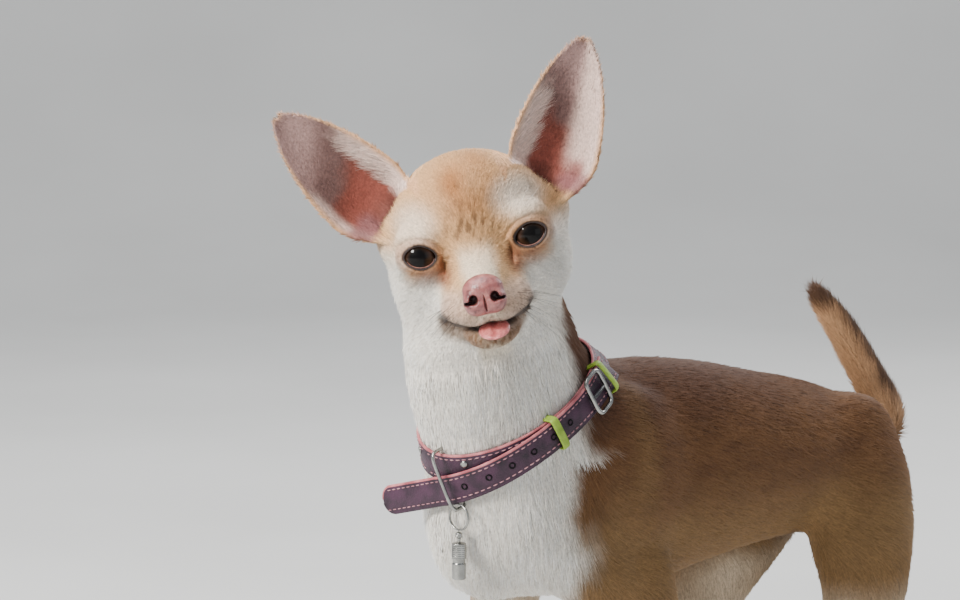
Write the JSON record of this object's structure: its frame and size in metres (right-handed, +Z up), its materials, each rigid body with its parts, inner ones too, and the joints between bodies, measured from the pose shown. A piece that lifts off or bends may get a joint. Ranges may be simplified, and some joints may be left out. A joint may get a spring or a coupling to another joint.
{
  "type": "chihuahua",
  "caption": "Life-size standing chihuahua, head turned to look over its shoulder, ears up, tail raised, wearing a leather collar with a plain cylinder tag.",
  "frame": {"origin": "centre of the bounding box in plan, on the floor under the paws", "axes": "+Z up, -Y the way the body heads, +X the dog's left side"},
  "size_m": [0.11, 0.3398, 0.3804],
  "materials": {
    "fawn_coat": "short smooth fawn and cream coat",
    "ear_skin": "thin pink ear skin, fawn hair outside",
    "dark_eye": "wet dark brown eye",
    "pink_nose": "moist pink-mauve nose leather",
    "tongue_flesh": "moist pink tongue",
    "purple_leather": "dark purple leather, worn",
    "lime_leather": "lime green leather",
    "bright_steel": "bright plated steel"
  },
  "bodies": {
    "root": {"head": "fawn_coat", "neck": "fawn_coat", "torso": "fawn_coat", "tail": "fawn_coat", "front_leg_left": "fawn_coat", "front_leg_right": "fawn_coat", "hind_leg_left": "fawn_coat", "hind_leg_right": "fawn_coat", "ear_left": "ear_skin", "ear_right": "ear_skin", "eye_left": "dark_eye", "eye_right": "dark_eye", "nose": "pink_nose", "tongue": "tongue_flesh", "collar_strap": "purple_leather", "collar_free_end": "purple_leather", "collar_keeper_front": "lime_leather", "collar_keeper_buckle": "lime_leather", "collar_buckle": "bright_steel", "collar_buckle_pin": "bright_steel", "collar_d_ring": "bright_steel", "collar_rivet_1": "bright_steel", "collar_rivet_2": "bright_steel", "tag_split_ring": "bright_steel", "tag_cap": "bright_steel", "tag_barrel": "bright_steel"}
  },
  "joints": []
}
